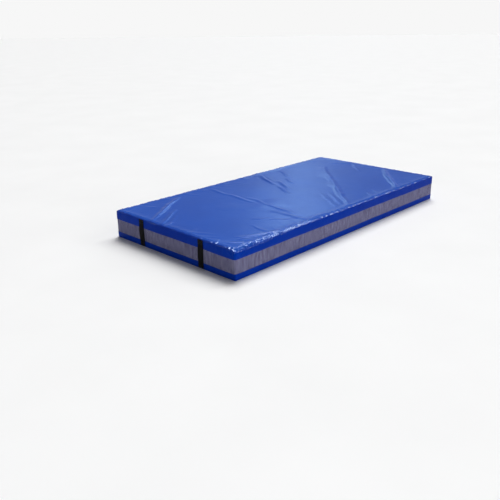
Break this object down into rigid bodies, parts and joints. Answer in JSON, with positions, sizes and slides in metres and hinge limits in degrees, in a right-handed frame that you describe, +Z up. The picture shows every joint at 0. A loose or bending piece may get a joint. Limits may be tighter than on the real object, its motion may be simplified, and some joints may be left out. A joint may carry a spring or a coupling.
{
  "type": "gym crash mat",
  "caption": "Thick one-piece foam landing mat in a vinyl cover with air-release mesh sides, webbing carrying handles on its short ends and a zipper along the back.",
  "frame": {"origin": "centre of the bottom face, on the floor", "axes": "+X along the length, to the end where the zipper opens; +Y to the long side with the zipper; +Z up"},
  "size_m": [2.4564, 1.2277, 0.2032],
  "materials": {
    "vinyl": "satin coated fabric with a fine grain",
    "air_mesh": "open woven mesh",
    "webbing": "ribbed webbing",
    "soft_foam": "open-cell foam",
    "firm_foam": "closed-cell foam",
    "zipper_tape": "woven tape",
    "zipper_teeth": "nylon coil",
    "zipper_metal": "nickel plated"
  },
  "bodies": {
    "mat": {"foam_core": "soft_foam", "foam_landing_layer": "firm_foam", "top_panel": "vinyl", "bottom_panel": "vinyl", "top_band_front": "vinyl", "top_band_back": "vinyl", "top_band_left": "vinyl", "top_band_right": "vinyl", "bottom_band_front": "vinyl", "bottom_band_back": "vinyl", "bottom_band_left": "vinyl", "bottom_band_right": "vinyl", "zipper_end_patch_left": "vinyl", "zipper_end_patch_right": "vinyl", "mesh_panel_front": "air_mesh", "mesh_panel_back": "air_mesh", "mesh_panel_left": "air_mesh", "mesh_panel_right": "air_mesh", "handle_left_front": "webbing", "handle_left_back": "webbing", "handle_right_front": "webbing", "handle_right_back": "webbing", "zipper_tape_upper": "zipper_tape", "zipper_tape_lower": "zipper_tape", "zipper_teeth_upper": "zipper_teeth", "zipper_teeth_lower": "zipper_teeth", "zipper_top_stops": "zipper_metal", "zipper_bottom_stop": "zipper_metal"},
    "slider": {"zipper_slider": "zipper_metal"},
    "pull_tab": {"zipper_pull_tab": "zipper_metal"}
  },
  "joints": [
    {"name": "zipper_slide", "type": "slide", "parent": "mat", "child": "slider", "axis": [1, 0, 0], "range_m": [0, 2.277], "deforming": ["zipper_teeth_upper", "zipper_teeth_lower"]},
    {"name": "pull_tab_flip", "type": "hinge", "parent": "slider", "child": "pull_tab", "pos_m": [-1.143, 0.6134, 0.055], "axis": [0, 0, 1], "range_deg": [0, 175]}
  ]
}
